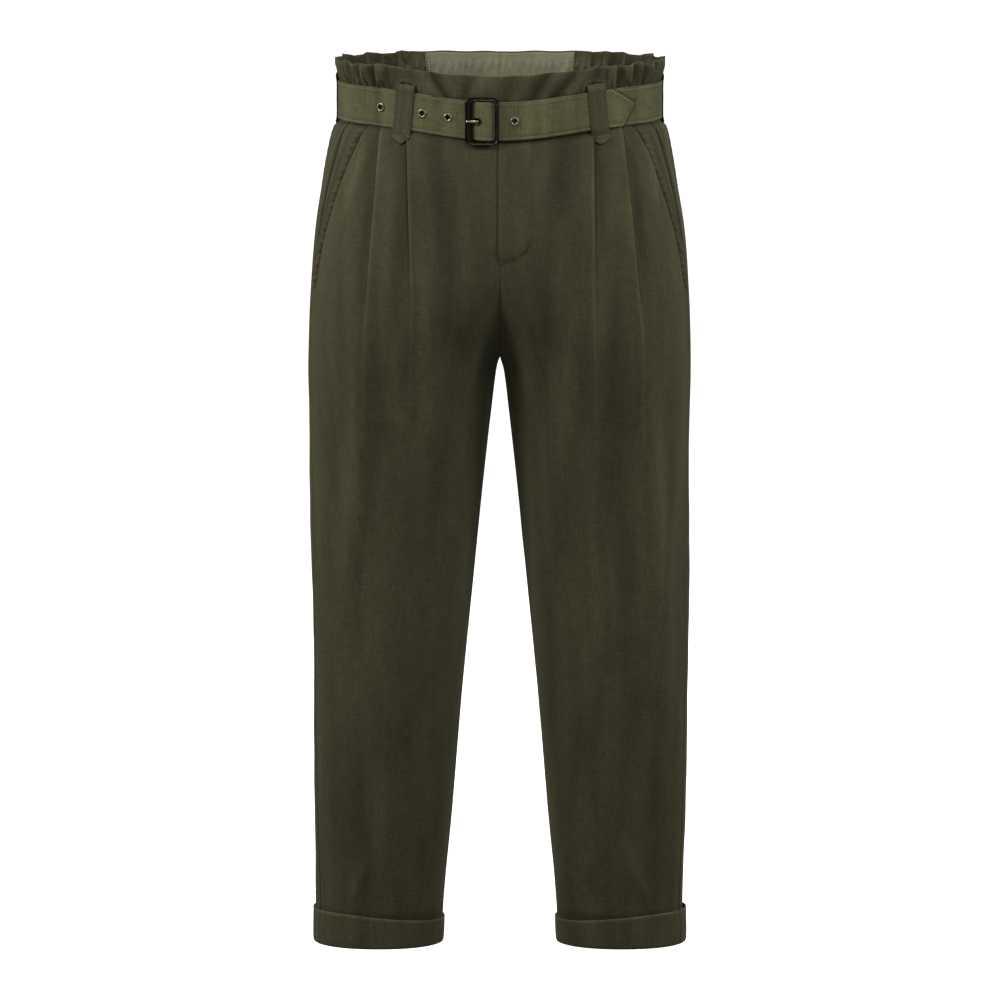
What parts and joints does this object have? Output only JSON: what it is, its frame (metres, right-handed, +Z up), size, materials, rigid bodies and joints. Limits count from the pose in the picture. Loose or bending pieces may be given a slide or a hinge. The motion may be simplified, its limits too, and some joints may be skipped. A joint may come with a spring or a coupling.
{
  "type": "paperbag waist trousers",
  "caption": "Tapered pleated trousers with a gathered header above a webbing belt, slant pockets, a fly and turned-up cuffs, filled out and hollow.",
  "frame": {"origin": "middle of the belt ring, level with the belt's centre line, where the wearer's waist holds the garment", "axes": "+Z up the body; the front faces -Y; +X to the right as seen from the front, the wearer's left"},
  "size_m": [0.4028, 0.262, 0.9477],
  "materials": {
    "main_cloth": "dark olive cotton twill, soft and matt",
    "belt_cloth": "olive cotton webbing, edge stitched, matt",
    "facing_cloth": "lighter olive plain lining cloth, matt",
    "buckle_metal": "dark antique metal, satin",
    "eyelet_metal": "pale worn metal, satin"
  },
  "bodies": {
    "root": {"front_left": "main_cloth", "front_right": "main_cloth", "back_left": "main_cloth", "back_right": "main_cloth", "pocket_left": "main_cloth", "pocket_right": "main_cloth", "cuff_left": "main_cloth", "cuff_right": "main_cloth", "fly_facing": "main_cloth", "header_front_left": "main_cloth", "header_front_right": "main_cloth", "header_back": "main_cloth", "casing_left": "main_cloth", "casing_right": "main_cloth", "loop_front_left": "main_cloth", "loop_front_right": "main_cloth", "loop_side_left": "main_cloth", "loop_side_right": "main_cloth", "loop_back": "main_cloth", "back_facing": "facing_cloth", "belt": "belt_cloth", "buckle": "buckle_metal", "eyelet_1": "eyelet_metal", "eyelet_2": "eyelet_metal", "eyelet_3": "eyelet_metal", "eyelet_4": "eyelet_metal", "eyelet_5": "eyelet_metal", "prong": "eyelet_metal"}
  },
  "joints": []
}
